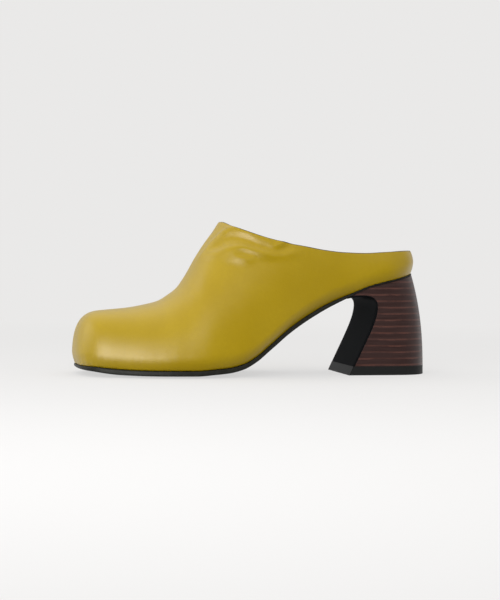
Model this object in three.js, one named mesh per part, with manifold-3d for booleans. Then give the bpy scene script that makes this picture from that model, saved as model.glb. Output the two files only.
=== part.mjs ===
import * as THREE from 'three';
import { mergeVertices } from 'three/addons/utils/BufferGeometryUtils.js';
import Module from 'manifold-3d';

// A heeled clog mule for the left foot. A closed-toe leather upper runs back into a low collar round the heel,
// an insole lies inside it, and a thin black outsole closes both. A block heel of stacked lifts stands under the
// seat, with a black cover over its curved front, which is called the breast, and a rubber top piece at the floor.
// Lengths are in millimetres. The toe points along -X, the outer side faces -Y, and the shoe stands on z = 0.
// Until the last lines, x is measured from the tip of the toe, and a share along the shoe is x / LENGTH.

const wasm = await Module();
wasm.setup();

// Sizes of the last and the upper.
const LENGTH = 234.7; // toe to counter, outside the upper
const BALL_WIDTH = 88; // across the ball, outside the upper
const SEAT_WIDTH = 61.5; // across the heel, outside the upper
const SEAT_HEIGHT = 70.3; // floor to the upper's lower edge at the back of the heel
const TOE_SPRING = 2.2; // lift of the toe end above the tread
const TOE_BOX_HEIGHT = 37.7; // upper's lower edge to the top of the toe box
const COLLAR_RISE = 12.7; // back of the seat to the lowest part of the topline
const THROAT_RISE = 20.6; // lowest part of the topline to the throat, where it crosses the instep
const THROAT_LENGTH = 98.9; // tip of the toe to the throat
const INNER_DROP = 1.2; // how much lower the collar is on its inner side
const UPPER_WALL = 2;
const TUCK = 4.5; // how far the upper rounds in under itself at the waist
const TUCK_HEIGHT = 9.5; // height over which it rounds in
const COUNTER_LEAN = 2.5; // how far the collar leans in at the back
const TOE_SKEW = 2.5; // the inner corner of the square toe leads the outer one by twice this
const RIDGE_OFFSET = 4; // the instep's ridge lies this far to the inner side
const TOE_ROUND = { length: 30, power: 3 }; // the toe's outline seen from above
const TOE_DOME = { length: 20, power: 3.2 }; // the toe's outline seen from the side
const COUNTER_ROUND = { length: 28, power: 2.3 }; // the counter's outline seen from above

// Sizes of the bottom.
const GAP = 0.3; // clearance between pieces that are cemented together
const INSOLE_THICKNESS = 3.5;
const INSOLE_CLEARANCE = 0.4; // insole's edge to the upper's lining
const SOLE_EDGE = 3.2; // outsole's thickness at its edge
const SOLE_BELLY = 1.4; // what the middle of the tread adds to that
const SOLE_PROUD = 1.2; // how far the outsole's edge stands out from the upper's lower edge
const SEAT_SOLE = 0.8; // outsole's thickness where it is skived thin over the heel

// Sizes of the heel.
const HEEL_INSET = 0.7; // outsole's edge in to the top of the heel
const HEEL_NECK_LENGTH = 32.7; // counter to the deepest point of the breast
const HEEL_NECK_DROP = 14.5; // top of the heel down to that point
const HEEL_LIP_LENGTH = 21.6; // deepest point of the breast to the tip of the lip under the waist
const HEEL_FOOT_LENGTH = 59; // heel's length at the floor
const HEEL_FOOT_WIDTH = 53.5; // heel's width at the floor
const HEEL_FLARE = 7.7; // how far the foot of the heel reaches behind the counter
const HEEL_BACK_BOW = 2.35; // power of the curve down the heel's back
const HEEL_WIDTH_BOW = 1.3; // power of the curve in its sides
const HEEL_ROUND = { length: 24, power: 2.4 }; // the heel's back seen from above
const COVER_THICKNESS = 1; // black cover over the breast
const COVER_SETBACK = 1; // the cover starts this far behind the tip of the lip
const TOP_PIECE_THICKNESS = 6;

const THROAT_AT = THROAT_LENGTH / LENGTH;
const TREAD_LEVEL = SOLE_EDGE + SOLE_BELLY + GAP; // the upper's lower edge over the tread
const COLLAR_HEIGHT = SEAT_HEIGHT + COLLAR_RISE;
const THROAT_HEIGHT = COLLAR_HEIGHT + THROAT_RISE;
const TOE_TOP = TREAD_LEVEL + TOE_BOX_HEIGHT;

// The bottom of the last, from the side. toe: share of TOE_SPRING. rise: share of the climb from tread to seat.
const BOTTOM = [
  { at: 0, toe: 1, rise: 0 },
  { at: 0.041, toe: 0.97, rise: 0 },
  { at: 0.082, toe: 0.6, rise: 0 },
  { at: 0.133, toe: 0.23, rise: 0 },
  { at: 0.194, toe: 0.04, rise: 0 },
  { at: 0.235, toe: 0, rise: 0 },
  { at: 0.326, toe: 0, rise: 0 },
  { at: 0.376, toe: 0, rise: 0.013 },
  { at: 0.417, toe: 0, rise: 0.026 },
  { at: 0.458, toe: 0, rise: 0.061 },
  { at: 0.498, toe: 0, rise: 0.136 },
  { at: 0.539, toe: 0, rise: 0.252 },
  { at: 0.6, toe: 0, rise: 0.428 },
  { at: 0.661, toe: 0, rise: 0.569 },
  { at: 0.722, toe: 0, rise: 0.684 },
  { at: 0.783, toe: 0, rise: 0.774 },
  { at: 0.844, toe: 0, rise: 0.86 },
  { at: 0.925, toe: 0, rise: 0.932 },
  { at: 1, toe: 0, rise: 1 },
];

// The top of the last, from the side. along: share of THROAT_LENGTH. climb: share of the way up from the toe box
// to the throat. Behind the throat it is the leg that the collar's walls lean towards.
const RIDGE = [
  { along: 0, climb: -0.02 },
  { along: 0.218, climb: 0.012 },
  { along: 0.362, climb: 0.035 },
  { along: 0.483, climb: 0.071 },
  { along: 0.578, climb: 0.112 },
  { along: 0.651, climb: 0.184 },
  { along: 0.71, climb: 0.26 },
  { along: 0.772, climb: 0.405 },
  { along: 0.843, climb: 0.615 },
  { along: 0.916, climb: 0.797 },
  { along: 0.96, climb: 0.897 },
  { along: 1, climb: 1 },
  { along: 1.085, climb: 1.17 },
  { along: 1.23, climb: 1.42 },
  { along: 1.47, climb: 1.75 },
  { along: 1.9, climb: 2.05 },
  { along: 2.37, climb: 2.15 },
];

// The topline, from the side. along: share of the way from the throat to the counter. rise: share of
// THROAT_RISE above the lowest part of the collar. drop: share of INNER_DROP.
const TOPLINE = [
  { along: 0, rise: 1, drop: 0 },
  { along: 0.044, rise: 0.799, drop: 0 },
  { along: 0.131, rise: 0.588, drop: 0 },
  { along: 0.219, rise: 0.424, drop: 0 },
  { along: 0.308, rise: 0.288, drop: 0 },
  { along: 0.396, rise: 0.183, drop: 0.1 },
  { along: 0.484, rise: 0.083, drop: 0.3 },
  { along: 0.585, rise: 0.016, drop: 0.6 },
  { along: 0.688, rise: 0, drop: 0.9 },
  { along: 0.792, rise: 0.04, drop: 1 },
  { along: 0.896, rise: 0.092, drop: 0.9 },
  { along: 1, rise: 0.138, drop: 0 },
];

// Seen from above and in section. outer and inner: half-widths as shares of the width there, which runs from
// BALL_WIDTH to SEAT_WIDTH with the share seat. ridge: share of RIDGE_OFFSET. power: 2 is an ellipse, and a
// larger one is boxier. tuck: share of TUCK. lean: share of COUNTER_LEAN.
const SECTIONS = [
  { at: 0, outer: 0.33, inner: 0.405, seat: 0, ridge: 0, power: 2.7, tuck: 0.45, lean: 0 },
  { at: 0.092, outer: 0.375, inner: 0.43, seat: 0, ridge: 0, power: 2.6, tuck: 0.5, lean: 0 },
  { at: 0.194, outer: 0.452, inner: 0.475, seat: 0, ridge: 0.2, power: 2.45, tuck: 0.5, lean: 0 },
  { at: 0.275, outer: 0.498, inner: 0.493, seat: 0, ridge: 0.5, power: 2.3, tuck: 0.6, lean: 0 },
  { at: 0.356, outer: 0.517, inner: 0.475, seat: 0, ridge: 0.9, power: 2.1, tuck: 0.75, lean: 0 },
  { at: 0.448, outer: 0.5, inner: 0.415, seat: 0.05, ridge: 1, power: 2, tuck: 0.9, lean: 0 },
  { at: 0.549, outer: 0.488, inner: 0.4, seat: 0.3, ridge: 0.8, power: 2, tuck: 1, lean: 0 },
  { at: 0.651, outer: 0.498, inner: 0.44, seat: 0.7, ridge: 0.4, power: 2, tuck: 1, lean: 0.1 },
  { at: 0.752, outer: 0.502, inner: 0.48, seat: 0.95, ridge: 0.1, power: 2, tuck: 0.9, lean: 0.35 },
  { at: 0.823, outer: 0.5, inner: 0.5, seat: 1, ridge: 0, power: 2, tuck: 0.65, lean: 0.6 },
  { at: 0.905, outer: 0.5, inner: 0.5, seat: 1, ridge: 0, power: 2, tuck: 0.65, lean: 0.85 },
  { at: 1, outer: 0.5, inner: 0.5, seat: 1, ridge: 0, power: 2, tuck: 0.46, lean: 1 },
];

// The outsole. edge: share of the way from SEAT_SOLE to SOLE_EDGE. belly: share of SOLE_BELLY. proud: share of
// SOLE_PROUD.
const SOLE = [
  { at: 0, edge: 0.45, belly: 0, proud: 0.4 },
  { at: 0.03, edge: 0.8, belly: 0.25, proud: 0.6 },
  { at: 0.06, edge: 0.96, belly: 0.6, proud: 0.8 },
  { at: 0.12, edge: 1, belly: 1, proud: 1 },
  { at: 0.4, edge: 1, belly: 1, proud: 1 },
  { at: 0.45, edge: 1, belly: 0.5, proud: 1 },
  { at: 0.5, edge: 1, belly: 0.15, proud: 1 },
  { at: 0.6, edge: 1, belly: 0, proud: 1 },
  { at: 0.66, edge: 0.95, belly: 0, proud: 1 },
  { at: 0.72, edge: 0.78, belly: 0, proud: 1 },
  { at: 0.75, edge: 0.62, belly: 0, proud: 1 },
  { at: 0.78, edge: 0.36, belly: 0, proud: 1 },
  { at: 0.82, edge: 0, belly: 0, proud: 0.8 },
  { at: 0.92, edge: 0, belly: 0, proud: 0.7 },
  { at: 1, edge: 0, belly: 0, proud: 0.5 },
];

// A smooth curve through one column of a table, which doesn't overshoot between its rows.
function curve(rows, column, along = 'at') {
  const xs = rows.map((row) => row[along]);
  const ys = rows.map((row) => row[column]);
  const last = rows.length - 1;
  const chords = xs.slice(1).map((x, k) => (ys[k + 1] - ys[k]) / (x - xs[k]));
  const slopes = xs.map((x, k) => {
    if (k === 0 || k === last) return chords[Math.min(k, last - 1)];
    const [before, after] = [chords[k - 1], chords[k]];
    return before * after <= 0 ? 0 : (2 * before * after) / (before + after);
  });
  return (at) => {
    if (at <= xs[0]) return ys[0];
    if (at >= xs[last]) return ys[last];
    const k = xs.findIndex((x) => x > at) - 1;
    const step = xs[k + 1] - xs[k];
    const t = (at - xs[k]) / step;
    const keep = 1 - t;
    return (
      ys[k] * keep * keep * (1 + 2 * t) +
      ys[k + 1] * t * t * (3 - 2 * t) +
      step * t * keep * (slopes[k] * keep - slopes[k + 1] * t)
    );
  };
}

const toeLift = curve(BOTTOM, 'toe');
const seatRise = curve(BOTTOM, 'rise');
const ridgeClimb = curve(RIDGE, 'climb', 'along');
const toplineRise = curve(TOPLINE, 'rise', 'along');
const innerDrop = curve(TOPLINE, 'drop', 'along');
const outerShare = curve(SECTIONS, 'outer');
const innerShare = curve(SECTIONS, 'inner');
const seatShare = curve(SECTIONS, 'seat');
const ridgeShare = curve(SECTIONS, 'ridge');
const sectionPower = curve(SECTIONS, 'power');
const tuckShare = curve(SECTIONS, 'tuck');
const leanShare = curve(SECTIONS, 'lean');
const soleEdge = curve(SOLE, 'edge');
const soleBelly = curve(SOLE, 'belly');
const soleProud = curve(SOLE, 'proud');

// Height of the upper's lower edge, which is the bottom of the last.
const bottomZ = (x) =>
  TREAD_LEVEL + TOE_SPRING * toeLift(x / LENGTH) + (SEAT_HEIGHT - TREAD_LEVEL) * seatRise(x / LENGTH);
const ridgeZ = (at) => TOE_TOP + (THROAT_HEIGHT - TOE_TOP) * ridgeClimb(at / THROAT_AT);
const tuckAt = (at) => TUCK * tuckShare(at);

// Height of the topline. side is -1 on the outer side and 1 on the inner side.
function toplineZ(at, side) {
  const along = (at - THROAT_AT) / (1 - THROAT_AT);
  return COLLAR_HEIGHT + THROAT_RISE * toplineRise(along) - (side > 0 ? INNER_DROP * innerDrop(along) : 0);
}

// How much of its full size an outline has reached, a distance in from its round end.
function rounded(distance, { length, power }) {
  const rest = Math.max(0, 1 - distance / length);
  return Math.max(0, 1 - rest ** power) ** (1 / power);
}

// Half-width of the upper at a share along the shoe.
function halfWidth(at, side) {
  const width = BALL_WIDTH + (SEAT_WIDTH - BALL_WIDTH) * seatShare(at);
  const full = width * (side < 0 ? outerShare(at) : innerShare(at));
  return full * rounded(at * LENGTH, TOE_ROUND) * rounded((1 - at) * LENGTH, COUNTER_ROUND);
}

// Unit vector that points out of the outline, seen from above. across fades its sideways part over the toe.
function outward(at, side, across = 1) {
  if (at <= 0 || at >= 1) return new THREE.Vector2(at <= 0 ? -1 : 1, 0);
  const step = 1e-4;
  const [low, high] = [Math.max(0, at - step), Math.min(1, at + step)];
  const widening = (halfWidth(high, side) - halfWidth(low, side)) / ((high - low) * LENGTH);
  return new THREE.Vector2(-widening, side * Math.max(across, 1e-3)).normalize();
}

// The toe's corners are skewed: x moves forward on the inner side.
function skewed(x, y) {
  const fade = Math.max(0, 1 - x / (0.3 * LENGTH));
  return x - TOE_SKEW * fade * fade * (y / (BALL_WIDTH / 2));
}

// A point on the outline of the upper, moved in by inset, as x and y.
function outline(at, side, inset) {
  const out = outward(at, side);
  const x = at * LENGTH - out.x * inset;
  const y = side * halfWidth(at, side) - out.y * inset;
  return new THREE.Vector2(skewed(x, y), y);
}

// Angle up the section where it meets the topline. In front of the throat the section closes at the ridge.
function topAngle(at, side) {
  if (at <= THROAT_AT) return Math.PI / 2;
  const bottom = bottomZ(at * LENGTH);
  const share = (toplineZ(at, side) - bottom) / (ridgeZ(at) - bottom);
  return Math.asin(Math.min(1, share ** (sectionPower(at) / 2)));
}

// A point on the outside of the upper: at a share along, and an angle up the section from the sole to the ridge.
function upperPoint(at, side, angle) {
  const power = 2 / sectionPower(at);
  const across = Math.abs(Math.cos(angle)) ** power;
  const dome = rounded(at * LENGTH, TOE_DOME);
  const height = (ridgeZ(at) - bottomZ(at * LENGTH)) * dome * Math.sin(angle) ** power;
  const under = Math.max(0, 1 - height / TUCK_HEIGHT);
  const wall = Math.max(1, toplineZ(at, side) - bottomZ(at * LENGTH));
  const up = at > THROAT_AT ? Math.min(1, height / wall) : 0;
  const inset = tuckAt(at) * under * under + COUNTER_LEAN * leanShare(at) * up ** 3;
  const out = outward(at, side, across);
  const ridge = RIDGE_OFFSET * ridgeShare(at);
  const y = ridge + (side * halfWidth(at, side) - ridge) * across - out.y * inset;
  const x = skewed(at * LENGTH - out.x * inset, y);
  return new THREE.Vector3(x, y, bottomZ(x) + height);
}

// Shares along the shoe where the sections lie: close together at the round ends and behind the throat.
function stations(toeCount, vampCount, collarCount, counterCount) {
  const toeEnd = TOE_ROUND.length / LENGTH;
  const counterStart = 1 - COUNTER_ROUND.length / LENGTH;
  const shares = [];
  for (let k = 0; k < toeCount; k += 1) {
    const turn = Math.cos((k / toeCount) * (Math.PI / 2)) ** (2 / TOE_ROUND.power);
    shares.push(toeEnd * (1 - turn));
  }
  for (let k = 0; k < vampCount; k += 1) {
    shares.push(THREE.MathUtils.lerp(toeEnd, THROAT_AT, k / vampCount));
  }
  for (let k = 0; k < collarCount; k += 1) {
    shares.push(THREE.MathUtils.lerp(THROAT_AT, counterStart, (k / collarCount) ** 1.6));
  }
  for (let k = 0; k <= counterCount; k += 1) {
    const turn = Math.cos((1 - k / counterCount) * (Math.PI / 2)) ** (2 / COUNTER_ROUND.power);
    shares.push(1 - (1 - counterStart) * (1 - turn));
  }
  return shares;
}
const SHARES = stations(10, 15, 22, 9);

// Collects triangles as a closed surface, welds it and turns its faces outward.
class Shell {
  corners = [];

  triangle(a, b, c) {
    const area = new THREE.Triangle(a, b, c).getArea();
    if (area > 1e-7) this.corners.push(a, b, c);
  }

  quad(a, b, c, d) {
    this.triangle(a, b, c);
    this.triangle(a, c, d);
  }

  // Quads between two rows of points. A closed row joins its end to its start.
  strip(row, next, closed = false) {
    const count = closed ? row.length : row.length - 1;
    for (let k = 0; k < count; k += 1) {
      const after = (k + 1) % row.length;
      this.quad(row[k], row[after], next[after], next[k]);
    }
  }

  fan(ring, reversed) {
    const middle = ring.reduce((sum, p) => sum.add(p), new THREE.Vector3()).divideScalar(ring.length);
    ring.forEach((p, k) => {
      const after = ring[(k + 1) % ring.length];
      if (reversed) this.triangle(middle, after, p);
      else this.triangle(middle, p, after);
    });
  }

  geometry() {
    const volume = this.corners.reduce((sum, p, k, all) => {
      if (k % 3) return sum;
      return sum + p.dot(new THREE.Vector3().crossVectors(all[k + 1], all[k + 2]));
    }, 0);
    if (volume < 0) this.corners.reverse();
    return mergeVertices(new THREE.BufferGeometry().setFromPoints(this.corners), 1e-4);
  }
}

function toSolid(geometry) {
  const bare = geometry.index ? geometry.toNonIndexed() : geometry.clone();
  bare.deleteAttribute('normal');
  bare.deleteAttribute('uv');
  const welded = mergeVertices(bare, 1e-4);
  return new wasm.Manifold(
    new wasm.Mesh({
      numProp: 3,
      vertProperties: new Float32Array(welded.attributes.position.array),
      triVerts: new Uint32Array(welded.index.array),
    }),
  );
}

function toGeometry(solid) {
  const mesh = solid.getMesh();
  const geometry = new THREE.BufferGeometry();
  geometry.setAttribute('position', new THREE.BufferAttribute(mesh.vertProperties, 3));
  geometry.setIndex(new THREE.BufferAttribute(mesh.triVerts, 1));
  return geometry;
}

// The upper: an outside and an inside surface, one wall apart, joined at the topline and at the lower edge.
function upperGeometry() {
  const ROWS = 10;
  const last = SHARES.length - 1;
  const throat = SHARES.findIndex((at) => at >= THROAT_AT);
  // For each section, its points from the outer lower edge over the top to the inner lower edge.
  const sideOf = (at, side) =>
    Array.from({ length: ROWS + 1 }, (_, row) => upperPoint(at, side, topAngle(at, side) * (row / ROWS) ** 1.4));
  const outer = SHARES.map((at) => sideOf(at, -1));
  const inner = SHARES.map((at) => sideOf(at, 1));
  const neighbour = (rows, others, k, row) => {
    if (row <= ROWS) return rows[k][row];
    return k <= throat ? others[k][2 * ROWS - row] : rows[k][ROWS];
  };
  const normal = (rows, others, side, k, row) => {
    if (k === 0) return new THREE.Vector3(-1, 0, 0);
    const ahead = k === last ? others[last - 1][row] : neighbour(rows, others, k + 1, row);
    const along = new THREE.Vector3().subVectors(ahead, rows[k - 1][row]);
    const above = neighbour(rows, others, k, row + 1);
    const up = new THREE.Vector3().subVectors(above, rows[k][Math.max(0, row - 1)]);
    return along.cross(up).multiplyScalar(side).normalize().negate();
  };
  const lining = (rows, others, side) =>
    rows.map((points, k) =>
      points.map((point, row) => {
        if (row === 0) {
          const edge = outline(SHARES[k], side, tuckAt(SHARES[k]) + UPPER_WALL);
          return new THREE.Vector3(edge.x, edge.y, bottomZ(edge.x));
        }
        return point.clone().addScaledVector(normal(rows, others, side, k, row), -UPPER_WALL);
      }),
    );
  const outerLining = lining(outer, inner, -1);
  const innerLining = lining(inner, outer, 1);
  // The two sides share the ridge line in front of the throat and the line down the back of the counter.
  for (let k = 0; k <= throat; k += 1) innerLining[k][ROWS] = outerLining[k][ROWS];
  innerLining[last].forEach((point, row) => outerLining[last][row].copy(point).setY(0));
  innerLining[last] = outerLining[last];
  innerLining[0] = outerLining[0] = outerLining[0].map(() => outerLining[0][0]);

  const shell = new Shell();
  for (let k = 0; k < last; k += 1) {
    shell.strip(outer[k], outer[k + 1]);
    shell.strip(inner[k + 1], inner[k]);
    shell.strip(outerLining[k + 1], outerLining[k]);
    shell.strip(innerLining[k], innerLining[k + 1]);
    shell.quad(outer[k][0], outer[k + 1][0], outerLining[k + 1][0], outerLining[k][0]);
    shell.quad(inner[k + 1][0], inner[k][0], innerLining[k][0], innerLining[k + 1][0]);
    if (k >= throat) {
      shell.quad(outer[k + 1][ROWS], outer[k][ROWS], outerLining[k][ROWS], outerLining[k + 1][ROWS]);
      shell.quad(inner[k][ROWS], inner[k + 1][ROWS], innerLining[k + 1][ROWS], innerLining[k][ROWS]);
    }
  }
  return shell.geometry();
}

// A flat piece that follows the bottom of the last. inset moves its edge in from the upper's outline, and under
// and over give its two faces at an x and a place across, from -1 at the outer edge to 1 at the inner edge.
function bottomPieceGeometry(inset, across, under, over) {
  const rings = SHARES.map((at) => {
    const [outerEdge, innerEdge] = [outline(at, -1, inset(at)), outline(at, 1, inset(at))];
    const face = (height) =>
      across.map((place) => {
        const { x, y } = outerEdge.clone().lerp(innerEdge, (place + 1) / 2);
        return new THREE.Vector3(x, y, height(x, place));
      });
    return [...face(over), ...face(under).reverse()];
  });
  const shell = new Shell();
  for (let k = 1; k < rings.length; k += 1) shell.strip(rings[k - 1], rings[k], true);
  return shell.geometry();
}

// The outsole's underside. Its belly is flat across the middle and lifts towards the edges.
const soleThickness = (at) => SEAT_SOLE + (SOLE_EDGE - SEAT_SOLE) * soleEdge(at);
function soleUnderside(x, place) {
  const at = x / LENGTH;
  const lift = Math.max(0, (Math.abs(place) - 0.4) / 0.6) ** 2;
  return bottomZ(x) - GAP - soleThickness(at) - SOLE_BELLY * soleBelly(at) * (1 - lift);
}

function outsoleGeometry() {
  const across = [-1, -0.88, -0.68, -0.4, 0.4, 0.68, 0.88, 1];
  return bottomPieceGeometry(
    (at) => tuckAt(at) - SOLE_PROUD * soleProud(at),
    across,
    soleUnderside,
    (x) => bottomZ(x) - GAP,
  );
}

function insoleGeometry() {
  return bottomPieceGeometry(
    (at) => tuckAt(at) + UPPER_WALL + INSOLE_CLEARANCE,
    [-1, 0, 1],
    (x) => bottomZ(x),
    (x) => bottomZ(x) + INSOLE_THICKNESS,
  );
}

// The heel's outline at a height, as a closed ring: straight sides that run forward past the breast, and a
// round back.
const lipX = LENGTH - HEEL_NECK_LENGTH - HEEL_LIP_LENGTH;
const seatHalf = SEAT_WIDTH / 2 - tuckAt(0.87) + SOLE_PROUD * soleProud(0.87) - HEEL_INSET;
const seatBack = LENGTH - tuckAt(1) + SOLE_PROUD * soleProud(1) - HEEL_INSET;

function heelRing(z) {
  const SIDE = 12;
  const up = Math.min(1, z / SEAT_HEIGHT);
  const half = THREE.MathUtils.lerp(HEEL_FOOT_WIDTH / 2, seatHalf, up ** HEEL_WIDTH_BOW);
  const back = THREE.MathUtils.lerp(LENGTH + HEEL_FLARE, seatBack, up ** HEEL_BACK_BOW);
  const round = THREE.MathUtils.lerp(HEEL_ROUND.length, COUNTER_ROUND.length, up);
  const front = lipX - HEEL_LIP_LENGTH;
  const ring = [new THREE.Vector3(front, -half, z)];
  for (let k = -SIDE; k <= SIDE; k += 1) {
    const turn = (k / SIDE) * (Math.PI / 2);
    const y = Math.sign(turn) * half * Math.abs(Math.sin(turn)) ** (2 / HEEL_ROUND.power);
    const x = back - round * (1 - Math.cos(turn) ** (2 / HEEL_ROUND.power));
    ring.push(new THREE.Vector3(x, y, z));
  }
  ring.push(new THREE.Vector3(front, half, z));
  return ring;
}

// The heel between two heights, before its top and its breast are cut.
function heelBlank(fromZ, toZ, steps) {
  const shell = new Shell();
  const heights = Array.from({ length: steps + 1 }, (_, k) => THREE.MathUtils.lerp(fromZ, toZ, k / steps));
  const rings = heights.map(heelRing);
  for (let k = 1; k < rings.length; k += 1) shell.strip(rings[k - 1], rings[k], true);
  shell.fan(rings[0], true);
  shell.fan(rings.at(-1), false);
  return toSolid(shell.geometry());
}

// A plate wider than the shoe, cut to a side profile.
function profilePlate(points) {
  const depth = 2 * BALL_WIDTH;
  const plate = new THREE.ExtrudeGeometry(new THREE.Shape(points), { depth, bevelEnabled: false, steps: 1 });
  plate.translate(0, 0, -depth / 2);
  plate.rotateX(Math.PI / 2);
  return toSolid(plate);
}

// Bounds of these plates, clear of the heel on every side.
const belowFloor = -SEAT_HEIGHT / 10;
const aboveSeat = 1.1 * SEAT_HEIGHT;
const behindHeel = LENGTH + 2 * HEEL_FLARE;

// Everything under the outsole, from the lip back.
const heelTopZ = (x) => soleUnderside(x, 0) - GAP;
function underSole() {
  const xs = [lipX, ...SHARES.map((at) => at * LENGTH).filter((x) => x > lipX)];
  return profilePlate([
    ...xs.map((x) => new THREE.Vector2(x, heelTopZ(x))),
    new THREE.Vector2(behindHeel, heelTopZ(LENGTH)),
    new THREE.Vector2(behindHeel, belowFloor),
    new THREE.Vector2(lipX, belowFloor),
  ]);
}

// Everything behind the breast, which runs from the tip of the lip under the waist, round the neck and down to
// the floor. inset moves it into the heel. Points are x and z.
function behindBreast(inset) {
  const neck = new THREE.Vector2(LENGTH - HEEL_NECK_LENGTH, 0);
  neck.y = heelTopZ(neck.x) - HEEL_NECK_DROP;
  const lip = new THREE.Vector2(lipX, heelTopZ(lipX));
  const foot = new THREE.Vector2(LENGTH + HEEL_FLARE - HEEL_FOOT_LENGTH, 0);
  const roof = lip.y + HEEL_LIP_LENGTH * 0.15;
  const hook = new THREE.CubicBezierCurve(
    lip,
    new THREE.Vector2(lip.x + HEEL_LIP_LENGTH * 0.62, roof),
    new THREE.Vector2(neck.x, roof - HEEL_LIP_LENGTH * 0.06),
    neck,
  );
  const shin = new THREE.CubicBezierCurve(
    neck,
    new THREE.Vector2(neck.x, neck.y * 0.79),
    new THREE.Vector2(THREE.MathUtils.lerp(foot.x, neck.x, 0.58), neck.y * 0.51),
    foot,
  );
  const place = (line, t) => {
    const tangent = line.getTangent(t);
    return line.getPoint(t).add(new THREE.Vector2(-tangent.y, tangent.x).multiplyScalar(inset));
  };
  const hooked = Array.from({ length: 10 }, (_, k) => place(hook, k / 10));
  const straight = Array.from({ length: 11 }, (_, k) => place(shin, k / 10));
  return profilePlate([
    new THREE.Vector2(hooked[0].x, aboveSeat),
    ...hooked,
    ...straight,
    new THREE.Vector2(straight.at(-1).x, belowFloor),
    new THREE.Vector2(behindHeel, belowFloor),
    new THREE.Vector2(behindHeel, aboveSeat),
  ]);
}

function topPieceGeometry() {
  return toGeometry(heelBlank(0, TOP_PIECE_THICKNESS, 1).intersect(behindBreast(0)));
}

const heelStock = () => heelBlank(TOP_PIECE_THICKNESS + GAP, SEAT_HEIGHT, 9).intersect(underSole());

function heelGeometry() {
  return toGeometry(heelStock().intersect(behindBreast(COVER_THICKNESS + GAP)));
}

function breastCoverGeometry() {
  const behindTip = profilePlate([
    new THREE.Vector2(lipX + COVER_SETBACK, aboveSeat),
    new THREE.Vector2(lipX + COVER_SETBACK, belowFloor),
    new THREE.Vector2(behindHeel, belowFloor),
    new THREE.Vector2(behindHeel, aboveSeat),
  ]);
  const cover = behindBreast(0).subtract(behindBreast(COVER_THICKNESS));
  return toGeometry(heelStock().intersect(cover).intersect(behindTip));
}

const leather = new THREE.MeshStandardMaterial({ color: 0xb59a24, roughness: 0.42, metalness: 0 });
const lining = new THREE.MeshStandardMaterial({ color: 0x2b2622, roughness: 0.7, metalness: 0 });
const blackSole = new THREE.MeshStandardMaterial({ color: 0x22221f, roughness: 0.6, metalness: 0 });
const blackCover = new THREE.MeshStandardMaterial({ color: 0x16181a, roughness: 0.5, metalness: 0 });
const stackedLifts = new THREE.MeshStandardMaterial({ color: 0x3d2725, roughness: 0.45, metalness: 0 });
const rubber = new THREE.MeshStandardMaterial({ color: 0x2a2b2a, roughness: 0.75, metalness: 0 });

function piece(name, geometry, material) {
  const mesh = new THREE.Mesh(geometry, material);
  mesh.name = name;
  return mesh;
}

const shoe = new THREE.Group();
shoe.add(
  piece('upper', upperGeometry(), leather),
  piece('insole', insoleGeometry(), lining),
  piece('outsole', outsoleGeometry(), blackSole),
  piece('heel', heelGeometry(), stackedLifts),
  piece('breast_cover', breastCoverGeometry(), blackCover),
  piece('top_piece', topPieceGeometry(), rubber),
);

// The origin goes to the middle of the shoe's footprint, on the floor.
const middle = new THREE.Box3().setFromObject(shoe).getCenter(new THREE.Vector3());
shoe.position.set(-middle.x, -middle.y, 0);
shoe.updateMatrixWorld(true);

export default shoe;
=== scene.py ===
"""Looks of a heeled clog mule for the left foot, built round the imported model.

Lengths are in metres. In the model's frame the toe points along -X, the outer side faces -Y and the floor is
z = 0. The surfaces follow the same last as the model. Along the shoe, x is measured from the tip of the toe,
and at is x / LENGTH. side is -1 for the outer side and 1 for the inner one. Taking MIDDLE off a finished
point moves it into the model's frame.
"""
import math

import bmesh
import bpy
import numpy as np
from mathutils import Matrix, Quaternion, Vector


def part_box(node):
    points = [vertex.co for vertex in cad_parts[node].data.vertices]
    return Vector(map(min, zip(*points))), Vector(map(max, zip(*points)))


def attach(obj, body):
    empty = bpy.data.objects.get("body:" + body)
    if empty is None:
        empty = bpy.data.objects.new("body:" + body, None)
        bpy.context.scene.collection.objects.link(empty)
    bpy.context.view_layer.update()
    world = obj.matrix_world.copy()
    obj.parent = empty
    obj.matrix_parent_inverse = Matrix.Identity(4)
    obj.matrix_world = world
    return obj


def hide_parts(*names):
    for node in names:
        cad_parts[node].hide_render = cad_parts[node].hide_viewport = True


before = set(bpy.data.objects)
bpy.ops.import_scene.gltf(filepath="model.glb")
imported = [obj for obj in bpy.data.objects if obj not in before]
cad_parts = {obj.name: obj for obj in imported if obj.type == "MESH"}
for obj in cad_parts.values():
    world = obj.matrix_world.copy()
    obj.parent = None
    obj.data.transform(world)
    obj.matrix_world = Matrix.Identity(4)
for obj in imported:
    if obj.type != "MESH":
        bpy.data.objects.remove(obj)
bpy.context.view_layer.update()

# Sizes of the last and the upper.
LENGTH = 0.2347  # toe to counter
BALL_WIDTH = 0.088
SEAT_WIDTH = 0.0615
SEAT_HEIGHT = 0.0703
TOE_SPRING = 0.0022
TOE_BOX_HEIGHT = 0.0377
COLLAR_RISE = 0.0127
THROAT_RISE = 0.0206
THROAT_LENGTH = 0.0989
INNER_DROP = 0.0012
UPPER_WALL = 0.002
TUCK = 0.0045
TUCK_HEIGHT = 0.0095
COUNTER_LEAN = 0.0025
TOE_SKEW = 0.0025
SKEW_END = 0.3  # share along where the skew has faded out
RIDGE_OFFSET = 0.004
TOE_ROUND = (0.030, 3)  # length and power of the round end
TOE_DOME = (0.020, 3.2)
COUNTER_ROUND = (0.028, 2.3)

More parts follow.
